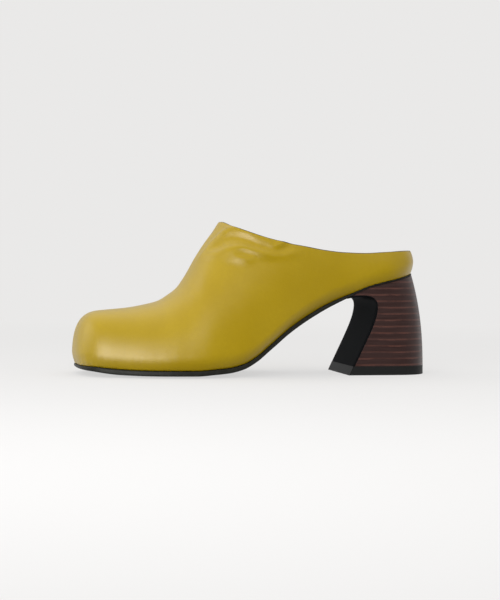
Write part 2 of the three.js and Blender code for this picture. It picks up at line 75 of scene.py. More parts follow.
# Sizes of the bottom and the heel.
GAP = 0.0003
INSOLE_THICKNESS = 0.0035
INSOLE_CLEARANCE = 0.0004
INSOLE_ROUNDING = 0.0012
SOLE_EDGE = 0.0032
SOLE_BELLY = 0.0014
SOLE_PROUD = 0.0012
SOLE_ROUNDING = 0.0006
BELLY_FLAT = 0.4  # share of the half-width over which the tread is flat across
SEAT_SOLE = 0.0008
HEEL_INSET = 0.0007
HEEL_NECK_LENGTH = 0.0327
HEEL_NECK_DROP = 0.0145
HEEL_LIP_LENGTH = 0.0216
HEEL_FOOT_LENGTH = 0.059
HEEL_FOOT_WIDTH = 0.0535
HEEL_FLARE = 0.0077
HEEL_BACK_BOW = 2.35
HEEL_WIDTH_BOW = 1.3
HEEL_ROUND = (0.024, 2.4)
COVER_THICKNESS = 0.001
COVER_SETBACK = 0.001
TOP_PIECE_THICKNESS = 0.006
HEEL_FOOT_LEVEL = TOP_PIECE_THICKNESS + 0.00004  # where the heel and its sheet sit on the top piece
SNUG = 0.00005  # between the heel and the sheet over its breast
HEEL_BEVEL = 0.00025
TOP_PIECE_BEVEL = 0.0003
ROUND_SHARE = 0.45  # most of a thin sheet's thickness that a round edge takes

THROAT_AT = THROAT_LENGTH / LENGTH
TREAD_LEVEL = SOLE_EDGE + SOLE_BELLY + GAP
COLLAR_HEIGHT = SEAT_HEIGHT + COLLAR_RISE
THROAT_HEIGHT = COLLAR_HEIGHT + THROAT_RISE
TOE_TOP = TREAD_LEVEL + TOE_BOX_HEIGHT
RIM = UPPER_WALL / 2  # radius of the rolled edge at the collar
RIM_DROP = 0.7 * RIM  # topline down to where the roll starts


def table(names, *rows):
    """A table with named columns."""
    return {name: np.array(column, float) for name, column in zip(names.split(), zip(*rows))}


# The bottom of the last from the side: shares of TOE_SPRING and of the climb from tread to seat.
BOTTOM = table(
    "at toe rise",
    (0, 1, 0), (0.041, 0.97, 0), (0.082, 0.6, 0), (0.133, 0.23, 0), (0.194, 0.04, 0), (0.235, 0, 0),
    (0.326, 0, 0), (0.376, 0, 0.013), (0.417, 0, 0.026), (0.458, 0, 0.061), (0.498, 0, 0.136),
    (0.539, 0, 0.252), (0.6, 0, 0.428), (0.661, 0, 0.569), (0.722, 0, 0.684), (0.783, 0, 0.774),
    (0.844, 0, 0.86), (0.925, 0, 0.932), (1, 0, 1),
)
# The ridge from the side: along is a share of THROAT_LENGTH, climb of the way from toe box to throat.
RIDGE = table(
    "along climb",
    (0, -0.02), (0.218, 0.012), (0.362, 0.035), (0.483, 0.071), (0.578, 0.112), (0.651, 0.184), (0.71, 0.26),
    (0.772, 0.405), (0.843, 0.615), (0.916, 0.797), (0.96, 0.897), (1, 1), (1.085, 1.17), (1.23, 1.42),
    (1.47, 1.75), (1.9, 2.05), (2.37, 2.15),
)
# The topline from the side: along is a share of the way from throat to counter, rise a share of THROAT_RISE,
# and drop of INNER_DROP.
TOPLINE = table(
    "along rise drop",
    (0, 1, 0), (0.044, 0.799, 0), (0.131, 0.588, 0), (0.219, 0.424, 0), (0.308, 0.288, 0),
    (0.396, 0.183, 0.1), (0.484, 0.083, 0.3), (0.585, 0.016, 0.6), (0.688, 0, 0.9), (0.792, 0.04, 1),
    (0.896, 0.092, 0.9), (1, 0.138, 0),
)
# Sections: outer and inner half-widths as shares of the width there, how far that width has gone from the
# ball's to the seat's, a share of RIDGE_OFFSET, the section's power, and shares of TUCK and COUNTER_LEAN.
SECTIONS = table(
    "at outer inner seat ridge power tuck lean",
    (0, 0.33, 0.405, 0, 0, 2.7, 0.45, 0),
    (0.092, 0.375, 0.43, 0, 0, 2.6, 0.5, 0),
    (0.194, 0.452, 0.475, 0, 0.2, 2.45, 0.5, 0),
    (0.275, 0.498, 0.493, 0, 0.5, 2.3, 0.6, 0),
    (0.356, 0.517, 0.475, 0, 0.9, 2.1, 0.75, 0),
    (0.448, 0.5, 0.415, 0.05, 1, 2, 0.9, 0),
    (0.549, 0.488, 0.4, 0.3, 0.8, 2, 1, 0),
    (0.651, 0.498, 0.44, 0.7, 0.4, 2, 1, 0.1),
    (0.752, 0.502, 0.48, 0.95, 0.1, 2, 0.9, 0.35),
    (0.823, 0.5, 0.5, 1, 0, 2, 0.65, 0.6),
    (0.905, 0.5, 0.5, 1, 0, 2, 0.65, 0.85),
    (1, 0.5, 0.5, 1, 0, 2, 0.46, 1),
)
# The outsole: shares of its edge's full thickness, of SOLE_BELLY and of SOLE_PROUD.
SOLE = table(
    "at edge belly proud",
    (0, 0.45, 0, 0.4), (0.03, 0.8, 0.25, 0.6), (0.06, 0.96, 0.6, 0.8), (0.12, 1, 1, 1), (0.4, 1, 1, 1),
    (0.45, 1, 0.5, 1), (0.5, 1, 0.15, 1), (0.6, 1, 0, 1), (0.66, 0.95, 0, 1), (0.72, 0.78, 0, 1),
    (0.75, 0.62, 0, 1), (0.78, 0.36, 0, 1), (0.82, 0, 0, 0.8), (0.92, 0, 0, 0.7), (1, 0, 0, 0.5),
)


def curve(rows, column, along="at"):
    """A smooth curve through one column of a table, which doesn't overshoot between its rows."""
    xs, ys = rows[along], rows[column]
    chords = np.diff(ys) / np.diff(xs)
    before, after = chords[:-1], chords[1:]
    same_way = before * after > 0
    inner = np.where(same_way, 2 * before * after / np.where(same_way, before + after, 1), 0)
    slopes = np.concatenate([chords[:1], inner, chords[-1:]])

    def value(at):
        at = np.clip(at, xs[0], xs[-1])
        k = np.clip(np.searchsorted(xs, at, side="right") - 1, 0, len(xs) - 2)
        step = xs[k + 1] - xs[k]
        t = (at - xs[k]) / step
        keep = 1 - t
        bend = step * t * keep * (slopes[k] * keep - slopes[k + 1] * t)
        return ys[k] * keep * keep * (1 + 2 * t) + ys[k + 1] * t * t * (3 - 2 * t) + bend

    return value


toe_lift = curve(BOTTOM, "toe")
seat_rise = curve(BOTTOM, "rise")
ridge_climb = curve(RIDGE, "climb", "along")
topline_rise = curve(TOPLINE, "rise", "along")
inner_drop = curve(TOPLINE, "drop", "along")
outer_share = curve(SECTIONS, "outer")
inner_share = curve(SECTIONS, "inner")
seat_share = curve(SECTIONS, "seat")
ridge_share = curve(SECTIONS, "ridge")
section_power = curve(SECTIONS, "power")
tuck_share = curve(SECTIONS, "tuck")
lean_share = curve(SECTIONS, "lean")
sole_edge = curve(SOLE, "edge")
sole_belly = curve(SOLE, "belly")
sole_proud = curve(SOLE, "proud")


def bottom_z(x):
    """Height of the last's bottom."""
    at = x / LENGTH
    return TREAD_LEVEL + TOE_SPRING * toe_lift(at) + (SEAT_HEIGHT - TREAD_LEVEL) * seat_rise(at)


def ridge_z(at):
    """Height of the ridge along the top of the last."""
    return TOE_TOP + (THROAT_HEIGHT - TOE_TOP) * ridge_climb(at / THROAT_AT)


def topline_z(at, side):
    """Height of the collar's edge."""
    along = (at - THROAT_AT) / (1 - THROAT_AT)
    drop = INNER_DROP * inner_drop(along) if side > 0 else 0
    return COLLAR_HEIGHT + THROAT_RISE * topline_rise(along) - drop


def rounded(distance, size):
    """How much of its full size an outline has reached, a distance in from its round end."""
    length, power = size
    rest = np.clip(1 - distance / length, 0, None)
    return np.clip(1 - rest**power, 0, None) ** (1 / power)


def half_width(at, side):
    """From the middle line out to the upper's widest point on one side."""
    width = BALL_WIDTH + (SEAT_WIDTH - BALL_WIDTH) * seat_share(at)
    full = width * (outer_share(at) if side < 0 else inner_share(at))
    return full * rounded(at * LENGTH, TOE_ROUND) * rounded((1 - at) * LENGTH, COUNTER_ROUND)


def outward(at, side, across=1.0):
    """Unit vectors, x and y, that point out of the outline seen from above."""
    at, across = np.broadcast_arrays(np.asarray(at, float), across)
    step = 1e-4
    low, high = np.maximum(0, at - step), np.minimum(1, at + step)
    widening = (half_width(high, side) - half_width(low, side)) / ((high - low) * LENGTH)
    out = np.stack([-widening, side * np.maximum(across, 1e-3)], -1)
    out /= np.linalg.norm(out, axis=-1, keepdims=True)
    out[at <= 0] = (-1, 0)
    out[at >= 1] = (1, 0)
    return out


def skewed(x, y):
    """The toe's corners are skewed: x moves forward on the inner side."""
    fade = np.clip(1 - x / (SKEW_END * LENGTH), 0, None)
    return x - TOE_SKEW * fade * fade * (y / (BALL_WIDTH / 2))


def outline(at, side, inset):
    """The upper's outline moved in by inset, as x and y."""
    out = outward(at, side)
    y = side * half_width(at, side) - out[..., 1] * inset
    return skewed(at * LENGTH - out[..., 0] * inset, y), y


def top_angle(at, side, drop=0.0):
    """Angle up the section to the topline, or to a drop below it, and before the throat to the ridge."""
    bottom = bottom_z(at * LENGTH)
    share = np.clip((topline_z(at, side) - drop - bottom) / (ridge_z(at) - bottom), 0, 1)
    return np.where(at <= throat_share(drop), math.pi / 2, np.arcsin(share ** (section_power(at) / 2)))


def throat_share(drop=0.0):
    """Share along the shoe where the topline, or a line a drop below it, meets the ridge."""
    low, high = 0.9 * THROAT_AT, THROAT_AT
    for _ in range(40):
        middle = (low + high) / 2
        if ridge_z(middle) < topline_z(middle, -1) - drop:
            low = middle
        else:
            high = middle
    return high


def upper_point(at, side, angle):
    """A point on the outside of the upper: a share along, and an angle up the section from sole to ridge."""
    at, angle = np.broadcast_arrays(at, angle)
    power = 2 / section_power(at)
    across = np.abs(np.cos(angle)) ** power
    dome = rounded(at * LENGTH, TOE_DOME)
    height = (ridge_z(at) - bottom_z(at * LENGTH)) * dome * np.sin(angle) ** power
    under = np.clip(1 - height / TUCK_HEIGHT, 0, None)
    wall = np.maximum(0.001, topline_z(at, side) - bottom_z(at * LENGTH))
    up = np.where(at > THROAT_AT, np.minimum(1, height / wall), 0)
    inset = TUCK * tuck_share(at) * under * under + COUNTER_LEAN * lean_share(at) * up**3
    out = outward(at, side, across)
    ridge = RIDGE_OFFSET * ridge_share(at)
    y = ridge + (side * half_width(at, side) - ridge) * across - out[..., 1] * inset
    x = skewed(at * LENGTH - out[..., 0] * inset, y)
    return np.stack([x, y, bottom_z(x) + height], -1)


# The model's origin is at the middle of the footprint. The foot of the heel tells where the toe is.
FOOT_LOW, FOOT_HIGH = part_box("top_piece")
MIDDLE = np.array([LENGTH + HEEL_FLARE - FOOT_HIGH.x, -(FOOT_LOW.y + FOOT_HIGH.y) / 2, 0])
QUARTER = math.pi / 2
COLLAR_SPACING = 1.4  # above 1, the stations behind the throat start close together


def stations(toe, vamp, collar, counter, throat):
    """Shares along the shoe, close together at the round ends and behind the throat."""
    toe_end, counter_start = TOE_ROUND[0] / LENGTH, 1 - COUNTER_ROUND[0] / LENGTH
    toe_turn = np.cos(np.arange(toe) / toe * QUARTER) ** (2 / TOE_ROUND[1])
    counter_turn = np.cos((1 - np.arange(counter + 1) / counter) * QUARTER) ** (2 / COUNTER_ROUND[1])
    return np.concatenate([
        toe_end * (1 - toe_turn),
        toe_end + (throat - toe_end) * np.arange(vamp) / vamp,
        throat + (counter_start - throat) * (np.arange(collar) / collar) ** COLLAR_SPACING,
        1 - (1 - counter_start) * (1 - counter_turn),
    ])


class Skin:
    """Surfaces that share their edge points, collected as one mesh."""

    def __init__(self):
        self.points = []
        self.quads = []
        self.slots = []
        self.count = 0

    def grid(self, points, slot=0, flip=False, wrap=False):
        """Faces between rows of points, with the last row joined to the first where wrap is set."""
        points = np.asarray(points, float)
        ids = self.count + np.arange(points.shape[0] * points.shape[1]).reshape(points.shape[:2])
        self.points.append(points.reshape(-1, 3))
        self.count += ids.size
        if wrap:
            ids = np.concatenate([ids, ids[:1]])
        quads = np.stack([ids[:-1, :-1], ids[1:, :-1], ids[1:, 1:], ids[:-1, 1:]], -1).reshape(-1, 4)
        self.quads.append(quads[:, ::-1] if flip else quads)
        self.slots.append(np.full(len(quads), slot))

    def object(self, name, materials, crease_angle=None):
        """The finished piece, with points that coincide welded."""
        mesh = bpy.data.meshes.new(name)
        points = np.concatenate(self.points) - MIDDLE
        quads = np.concatenate(self.quads)
        mesh.vertices.add(len(points))
        mesh.vertices.foreach_set("co", points.ravel())
        mesh.loops.add(quads.size)
        mesh.loops.foreach_set("vertex_index", quads.ravel().astype(np.int32))
        mesh.polygons.add(len(quads))
        mesh.polygons.foreach_set("loop_start", np.arange(0, quads.size, 4, dtype=np.int32))
        mesh.polygons.foreach_set("material_index", np.concatenate(self.slots).astype(np.int32))
        mesh.update(calc_edges=True)
        for material in materials:
            mesh.materials.append(material)
        weld = bmesh.new()
        weld.from_mesh(mesh)
        bmesh.ops.remove_doubles(weld, verts=weld.verts, dist=2e-6)
        bmesh.ops.dissolve_degenerate(weld, edges=weld.edges, dist=1e-7)
        bmesh.ops.recalc_face_normals(weld, faces=weld.faces)
        weld.to_mesh(mesh)
        weld.free()
        mesh.shade_smooth()
        if crease_angle:
            mesh.set_sharp_from_angle(angle=math.radians(crease_angle))
        piece = bpy.data.objects.new(name, mesh)
        bpy.context.scene.collection.objects.link(piece)
        return piece


def replace(piece, node):
    """A finished piece stands for a node of the model and rides on its body."""
    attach(piece, "root")
    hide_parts(node)
    return piece


# Folds in the upper. Each path runs over the leather: x from the toe's tip, and turn, the
# share of the quarter turn from the sole to the ridge. height is the middle's, reach the fold's half-width.
FOLDS = [
    dict(side=-1, height=0.0017, reach=0.0034, path=[
        (0.0850, 0.86), (0.0872, 0.841), (0.0903, 0.814), (0.0934, 0.794), (0.0965, 0.764), (0.0990, 0.737),
        (0.1026, 0.709), (0.1049, 0.671), (0.1090, 0.612), (0.1133, 0.555), (0.1178, 0.503), (0.1215, 0.465),
    ]),
    dict(side=-1, height=-0.0011, reach=0.0032, path=[
        (0.0900, 0.74), (0.0932, 0.712), (0.0968, 0.683), (0.1007, 0.654), (0.1060, 0.593), (0.1112, 0.536),
        (0.1152, 0.477), (0.1199, 0.431), (0.1235, 0.400),
    ]),
    dict(side=-1, height=0.0020, reach=0.0033, path=[
        (0.0820, 0.93), (0.0845, 0.850), (0.0885, 0.705), (0.0925, 0.643), (0.0961, 0.610), (0.1000, 0.576),
        (0.1046, 0.540), (0.1099, 0.494), (0.1135, 0.457), (0.1171, 0.428), (0.1217, 0.390), (0.1263, 0.357),
        (0.1312, 0.331), (0.1360, 0.307), (0.1418, 0.285), (0.1470, 0.270),
    ]),
    dict(side=-1, height=-0.0008, reach=0.0020, path=[
        (0.1040, 0.512), (0.1080, 0.485), (0.1123, 0.453), (0.1185, 0.402),
    ]),
    dict(side=-1, height=0.0016, reach=0.0032, path=[
        (0.0975, 0.555), (0.1021, 0.520), (0.1056, 0.478), (0.1098, 0.438), (0.1150, 0.405),
    ]),
    dict(side=-1, height=-0.0010, reach=0.0032, path=[
        (0.1235, 0.400), (0.1278, 0.364), (0.1320, 0.334), (0.1360, 0.322), (0.1401, 0.321), (0.1440, 0.325),
    ]),
    dict(side=-1, height=0.0009, reach=0.0023, path=[
        (0.1200, 0.470), (0.1230, 0.444), (0.1267, 0.404), (0.1288, 0.378), (0.1322, 0.367), (0.1348, 0.361),
        (0.1370, 0.370),
    ]),
    dict(side=-1, height=0.00025, reach=0.0022, path=[(0.0930, 0.600), (0.0990, 0.520), (0.1060, 0.440)]),
    dict(side=1, height=0.0009, reach=0.0034, path=[
        (0.0880, 0.86), (0.0950, 0.74), (0.1020, 0.66), (0.1090, 0.57), (0.1170, 0.47), (0.1250, 0.39),
    ]),
    dict(side=1, height=-0.0009, reach=0.0038, path=[
        (0.0870, 0.76), (0.0940, 0.67), (0.1020, 0.58), (0.1100, 0.49), (0.1190, 0.40),
    ]),
]
FOLD_SPREAD = 0.4  # how much wider a fold is where it starts near the ridge
FOLD_FADE = 0.7  # below 1, a fold rises fast from its ends
FOLD_POINTS = 60  # points along a fold's path
FOLD_CORNER = 4  # how many of them on each side round off a corner
PUCKER_HEIGHT = 0.00012  # the lasting puckers over the toe's feather edge
PUCKER_PITCH = 0.0052
PUCKER_TURN = 0.16  # share of the quarter turn over which they fade
PUCKER_END = 0.34  # share along the shoe where the last one is


def smoothed(line, reach):
    """A line of values with its corners rounded off: each is the mean of those within reach of it."""
    span = 2 * reach + 1
    return np.convolve(np.pad(line, reach, mode="edge"), np.full(span, 1 / span), mode="valid")


def fold_height(points):
    """How far the folds lift the leather at these points of the upper."""
    lift = np.zeros(points.shape[:-1])
    for fold in FOLDS:
        spaced = np.linspace(0, 1, FOLD_POINTS)
        steps = np.linspace(0, 1, len(fold["path"]))
        columns = np.array(fold["path"]).T
        x, turn = (smoothed(np.interp(spaced, steps, column), FOLD_CORNER) for column in columns)
        path = upper_point(x / LENGTH, fold["side"], turn * QUARTER)
        fade = np.sin(spaced * math.pi) ** FOLD_FADE
        reach = fold["reach"] * (1 + FOLD_SPREAD * (1 - spaced) ** 2)
        near = np.abs(points[..., 0] - path[:, 0].mean()) < np.ptp(path[:, 0]) / 2 + 4 * fold["reach"]
        gaps = np.linalg.norm(points[near][:, None] - path, axis=-1)
        lift[near] += fold["height"] * (fade * np.exp(-((gaps / reach) ** 2))).max(1)
    return lift


def pucker_height(at, side, turn):
    """Small gathers where the leather turns under the toe."""
    x, y = outline(at, side, 0.0)
    around = np.concatenate([[0], np.cumsum(np.hypot(np.diff(x[:, 0]), np.diff(y[:, 0])))])[:, None]
    wander = 0.9 * np.sin(around / PUCKER_PITCH * 2.3 + side) + 0.6 * np.sin(around / PUCKER_PITCH * 1.1)
    gathers = np.sin(2 * math.pi * around / PUCKER_PITCH + wander)
    fade = np.clip(1 - turn / PUCKER_TURN, 0, 1) ** 1.5 * np.clip(1 - at / PUCKER_END, 0, 1)
    return PUCKER_HEIGHT * gathers * fade


def row_turns(at, side, up):
    """Turns of the upper's rows. Only those near the top follow the topline's sharp start at the throat."""
    spaced = np.linspace(0, 1, 400)
    even = np.interp(at, spaced, smoothed(top_angle(spaced, side, RIM_DROP), 20)) / QUARTER
    top = top_angle(at, side, RIM_DROP) / QUARTER
    return even * up + (top - even) * up**4


def grid_normals(points, ids, count):
    """Smooth unit normals at shared points, from the faces of grids of point numbers."""
    normals = np.zeros((count, 3))
    for grid in ids:
        corners = (grid[:-1, :-1], grid[1:, :-1], grid[1:, 1:], grid[:-1, 1:])
        a, b, c, d = (points[corner] for corner in corners)
        across = np.cross(c - a, d - b)
        for corner in corners:
            np.add.at(normals, corner, across)
    return normals / np.maximum(np.linalg.norm(normals, axis=1, keepdims=True), 1e-12)


# How finely the upper is divided: along the toe's round end, the vamp, the collar and the counter's round
# end, and in rows from the sole up, which are a little closer together at the feather edge.
UPPER_STATIONS = dict(toe=44, vamp=84, collar=96, counter=36)
UPPER_ROWS = 100
ROW_SPACING = 1.12


def make_upper(leather, edge, lining):
    """The upper: folded leather outside, a rolled edge round the collar and a lining one wall inside it."""
    rows = UPPER_ROWS
    at = stations(**UPPER_STATIONS, throat=throat_share(RIM_DROP))[:, None]
    throat = UPPER_STATIONS["toe"] + UPPER_STATIONS["vamp"]
    last = len(at) - 1
    up = (np.arange(rows + 1) / rows) ** ROW_SPACING
    turns = {side: row_turns(at, side, up) for side in (-1, 1)}
    sides = {side: upper_point(at, side, turns[side] * QUARTER) for side in (-1, 1)}
    sides[1][: throat + 1, -1] = sides[-1][: throat + 1, -1]
    sides[1][0] = sides[-1][0] = sides[-1][0, 0]
    sides[1][last] = sides[-1][last]
    lift = [fold_height(sides[side]) + pucker_height(at, side, turns[side]) for side in (-1, 1)]

    # The two sides share the points of the ridge and of the middle lines at toe and counter.
    flat = np.concatenate([sides[-1].reshape(-1, 3), sides[1].reshape(-1, 3)])
    _, first, ids = np.unique(np.round(flat * 1e8), axis=0, return_index=True, return_inverse=True)
    outer_ids, inner_ids = ids.reshape(2, last + 1, rows + 1)
    grids = [outer_ids, inner_ids[::-1]]
    base = flat[first]
    lift = np.concatenate([part.ravel() for part in lift])[first]
    points = base + grid_normals(base, grids, len(base)) * lift[:, None]
    normals = grid_normals(points, grids, len(points))
    inside = points - normals * UPPER_WALL
    for side, side_ids in ((-1, outer_ids), (1, inner_ids)):
        x, y = outline(at[:, 0], side, TUCK * tuck_share(at[:, 0]) + UPPER_WALL)
        inside[side_ids[:, 0]] = np.stack([x, y, bottom_z(x)], -1)
    inside[outer_ids[0]] = inside[outer_ids[0, 0]]

    # Slot 0 is the leather, 1 the dark edge and 2 the lining.
    skin = Skin()
    skin.grid(points[outer_ids])
    skin.grid(points[inner_ids], flip=True)
    skin.grid(inside[outer_ids[:, ::2]], slot=2, flip=True)
    skin.grid(inside[inner_ids[:, ::2]], slot=2)
    feather = np.concatenate([outer_ids[:, 0], inner_ids[-2::-1, 0]])
    skin.grid(np.stack([points[feather], inside[feather]]), flip=True)

    # The collar's edge rolls over from the leather to the lining, square to the topline.
    loop = np.concatenate([outer_ids[throat:, rows], inner_ids[last - 1 : throat : -1, rows]])
    along = points[np.roll(loop, -1)] - points[np.roll(loop, 1)]
    away = np.cross(along, normals[loop])
    away /= np.linalg.norm(away, axis=1, keepdims=True)
    away *= np.sign(away[:, 2:].mean())
    centres = points[loop] - normals[loop] * RIM
    leather_turn, edge_turn = np.radians([0, 10, 20]), np.radians([20, 40, 60, 90, 120, 150, 180])
    for slot, turn in ((0, leather_turn), (1, edge_turn)):
        ring = [centres + RIM * (normals[loop] * np.cos(t) + away * np.sin(t)) for t in turn]
        skin.grid(np.stack(ring, 1), slot=slot, wrap=True)
    return skin.object("leather_upper", [leather, edge, lining])


# How finely the insole and the outsole are divided.
SHEET_STATIONS = dict(toe=26, vamp=60, collar=70, counter=24)
SHEET_PLACES = np.linspace(-1, 1, 31)  # points across a sheet, from its outer edge to its inner one


def edge_rounding(radius, thick):
    """Two round corners down a sheet's edge, as distances in from the edge and down from its top."""
    turn = np.linspace(0, QUARTER, 5)
    inward = np.concatenate([radius * (1 - np.sin(turn)), radius * (1 - np.cos(turn))])
    down = np.concatenate([radius * (1 - np.cos(turn)), thick - radius * (1 - np.sin(turn))])
    return inward, down


def make_sheet(name, material, inset, over, under, radius):
    """A sheet under the last, between the heights over(x, place) and under(x, place)."""
    rings = []
    for share in stations(**SHEET_STATIONS, throat=THROAT_AT):
        base = inset(share)
        edges = [np.array(outline(np.array(share), side, base)) for side in (-1, 1)]
        middle_x = share * LENGTH
        thick = over(middle_x, 1.0) - under(middle_x, 1.0)
        round_off = min(radius, ROUND_SHARE * thick)
        inward, down = edge_rounding(round_off, thick)
        ends = [np.array(outline(np.array(share), side, base + round_off)) for side in (-1, 1)]
        tops = [ends[0] + (ends[1] - ends[0]) * (place + 1) / 2 for place in SHEET_PLACES]
        ring = [(x, y, over(x, place)) for (x, y), place in zip(tops, SHEET_PLACES)]
        for side, step in ((1, 1), (-1, -1)):
            edge = [
                (*np.array(outline(np.array(share), side, base + i)), d)
                for i, d in list(zip(inward, down))[::step]
            ]
            ring += [(x, y, over(x, side) - d) for x, y, d in edge]
            if side == 1:
                ring += [(x, y, under(x, place)) for (x, y), place in zip(tops[::-1], SHEET_PLACES[::-1])]
        rings.append(ring + ring[:1])
    skin = Skin()
    skin.grid(rings)
    return skin.object(name, [material])


def sole_thickness(x):
    """The outsole's thickness at its edge."""
    return SEAT_SOLE + (SOLE_EDGE - SEAT_SOLE) * sole_edge(x / LENGTH)


def sole_underside(x, place):
    """The outsole's tread, which bellies down between its edges."""
    lift = np.clip((np.abs(place) - BELLY_FLAT) / (1 - BELLY_FLAT), 0, None) ** 2
    return bottom_z(x) - GAP - sole_thickness(x) - SOLE_BELLY * sole_belly(x / LENGTH) * (1 - lift)


def make_outsole(material):
    """The thin sole, proud of the upper at its edge."""
    return make_sheet(
        "thin_outsole",
        material,
        inset=lambda share: TUCK * tuck_share(share) - SOLE_PROUD * sole_proud(share),
        over=lambda x, place: bottom_z(x) - GAP,
        under=sole_underside,
        radius=SOLE_ROUNDING,
    )


def make_insole(material):
    """The footbed inside the upper."""
    return make_sheet(
        "insole_sock",
        material,
        inset=lambda share: TUCK * tuck_share(share) + UPPER_WALL + INSOLE_CLEARANCE,
        over=lambda x, place: bottom_z(x) + INSOLE_THICKNESS,
        under=lambda x, place: bottom_z(x),
        radius=INSOLE_ROUNDING,
    )


# The heel's outline at a height, and the side profile of its breast.
LIP_X = LENGTH - HEEL_NECK_LENGTH - HEEL_LIP_LENGTH
SEAT_AT = 0.87  # share along the shoe where the heel's top takes its width
SEAT_HALF = SEAT_WIDTH / 2 - TUCK * tuck_share(SEAT_AT) + SOLE_PROUD * sole_proud(SEAT_AT) - HEEL_INSET
SEAT_BACK = LENGTH - TUCK * tuck_share(1) + SOLE_PROUD * sole_proud(1) - HEEL_INSET


def heel_half(z):
    """Half the heel's width."""
    up = np.minimum(1, z / SEAT_HEIGHT)
    return HEEL_FOOT_WIDTH / 2 + (SEAT_HALF - HEEL_FOOT_WIDTH / 2) * up**HEEL_WIDTH_BOW


def heel_back(z):
    """x of the heel's back."""
    up = np.minimum(1, z / SEAT_HEIGHT)
    return LENGTH + HEEL_FLARE + (SEAT_BACK - LENGTH - HEEL_FLARE) * up**HEEL_BACK_BOW


def heel_round(z):
    """Length of the heel's round back."""
    return HEEL_ROUND[0] + (COUNTER_ROUND[0] - HEEL_ROUND[0]) * np.minimum(1, z / SEAT_HEIGHT)


def heel_top(x):
    """Height of the heel's top, which fits under the sole."""
    return sole_underside(x, 0.0) - GAP


def bezier(corners, t):
    """Points and unit slopes of a curve between four corners."""
    a, b, c, d = np.array(corners)
    t = np.asarray(t, float)[:, None]
    keep = 1 - t
    point = a * keep**3 + 3 * b * t * keep**2 + 3 * c * t**2 * keep + d * t**3
    slope = 3 * ((b - a) * keep**2 + 2 * (c - b) * t * keep + (d - c) * t**2)
    return point, slope / np.linalg.norm(slope, axis=1, keepdims=True)


# The handles of the breast's two curves: shares of the lip's length, the neck's height and the shin's run.
HOOK_ROOF, HOOK_START, HOOK_END = 0.15, 0.62, 0.06
SHIN_START, SHIN_RUN, SHIN_END = 0.79, 0.58, 0.51
BREAST_POINTS = 60  # points down each of the two curves
SHIN_POINTS = 50  # the last of them, which only run down


def breast_profile(inset):
    """x and z down the breast, from the tip of the lip round the neck to the floor, moved into the heel."""
    neck_x = LENGTH - HEEL_NECK_LENGTH
    neck = (neck_x, heel_top(neck_x) - HEEL_NECK_DROP)
    lip = (LIP_X, heel_top(LIP_X))
    foot = (LENGTH + HEEL_FLARE - HEEL_FOOT_LENGTH, 0)
    roof = lip[1] + HEEL_LIP_LENGTH * HOOK_ROOF
    before_neck = (neck_x, roof - HEEL_LIP_LENGTH * HOOK_END)
    hook = [lip, (lip[0] + HEEL_LIP_LENGTH * HOOK_START, roof), before_neck, neck]
    before_foot = (foot[0] + SHIN_RUN * (neck_x - foot[0]), neck[1] * SHIN_END)
    shin = [neck, (neck_x, neck[1] * SHIN_START), before_foot, foot]
    t = np.linspace(0, 1, BREAST_POINTS)
    parts = [bezier(hook, t[:-1]), bezier(shin, t)]
    points = np.concatenate([part[0] for part in parts])
    slopes = np.concatenate([part[1] for part in parts])
    return points + inset * np.stack([-slopes[:, 1], slopes[:, 0]], 1)


# How finely a block with the heel's outline is divided.
SIDE_POINTS = 22  # along its straight side
BACK_POINTS = 26  # round half of its back
BREAST_COLUMNS = 13  # across its front
SETTLING_ROUNDS = 8


def make_block(name, material, low, top, inset, rows, bevel):
    """A block with the heel's outline, from the height low up to top(x), cut in front by the breast."""
    profile = breast_profile(inset)
    share = (profile[:, 1] - low) / (top(profile[:, 0]) - low)
    order = np.argsort(share)
    levels = np.linspace(0, 1, rows + 1)
    start = np.interp(levels, share[order], profile[order, 0])[:, None]
    level = levels[:, None]

    def height(x):
        return low + level * (top(x) - low)

    # Along the straight side to where the round back begins, then round to the middle of the back. A point's
    # place depends on its height and its height on its place, so both are found in a few rounds.
    x = np.repeat(start, 2, 1)
    for _ in range(SETTLING_ROUNDS):
        bend = heel_back(height(x[:, 1:])) - heel_round(height(x[:, 1:]))
        x = np.concatenate([start, bend], 1)
    along = np.linspace(0, 1, SIDE_POINTS)
    straight = x[:, :1] + (x[:, 1:] - x[:, :1]) * along
    turn = np.linspace(QUARTER, 0, BACK_POINTS)[1:]
    x = np.repeat(bend, len(turn), 1)
    for _ in range(SETTLING_ROUNDS):
        z = height(x)
        x = heel_back(z) - heel_round(z) * (1 - np.cos(turn) ** (2 / HEEL_ROUND[1]))
    half = heel_half(height(straight))
    side = np.stack([straight, half, height(straight)], -1)
    arc = np.stack([x, heel_half(height(x)) * np.sin(turn) ** (2 / HEEL_ROUND[1]), height(x)], -1)
    inner = np.concatenate([side, arc], 1)
    ring = np.concatenate([inner * (1, -1, 1), inner[:, -2::-1]], 1)
    skin = Skin()
    skin.grid(ring)
    columns = ring.shape[1]
    for level_ring in (ring[0], ring[-1]):
        pairs = np.stack([level_ring[: columns // 2 + 1], level_ring[: columns // 2 - 1 : -1]], 1)
        skin.grid(pairs)
    width = np.linspace(0, 1, BREAST_COLUMNS)[None, :, None]
    skin.grid(ring[:, :1] + (ring[:, -1:] - ring[:, :1]) * width)
    block = skin.object(name, [material])
    soften(block, bevel)
    return block


def make_heel(material):
    """The heel block, from the top piece up to the sole and close behind the breast's cover."""
    behind_cover = COVER_THICKNESS + SNUG
    return make_block(
        "stacked_heel", material, HEEL_FOOT_LEVEL, heel_top, inset=behind_cover, rows=90, bevel=HEEL_BEVEL
    )


def make_top_piece(material):
    """The rubber lift that the heel stands on."""

    def flat_top(x):
        return np.full_like(x, TOP_PIECE_THICKNESS)

    return make_block("rubber_top_piece", material, 0.0, flat_top, inset=0.0, rows=8, bevel=TOP_PIECE_BEVEL)


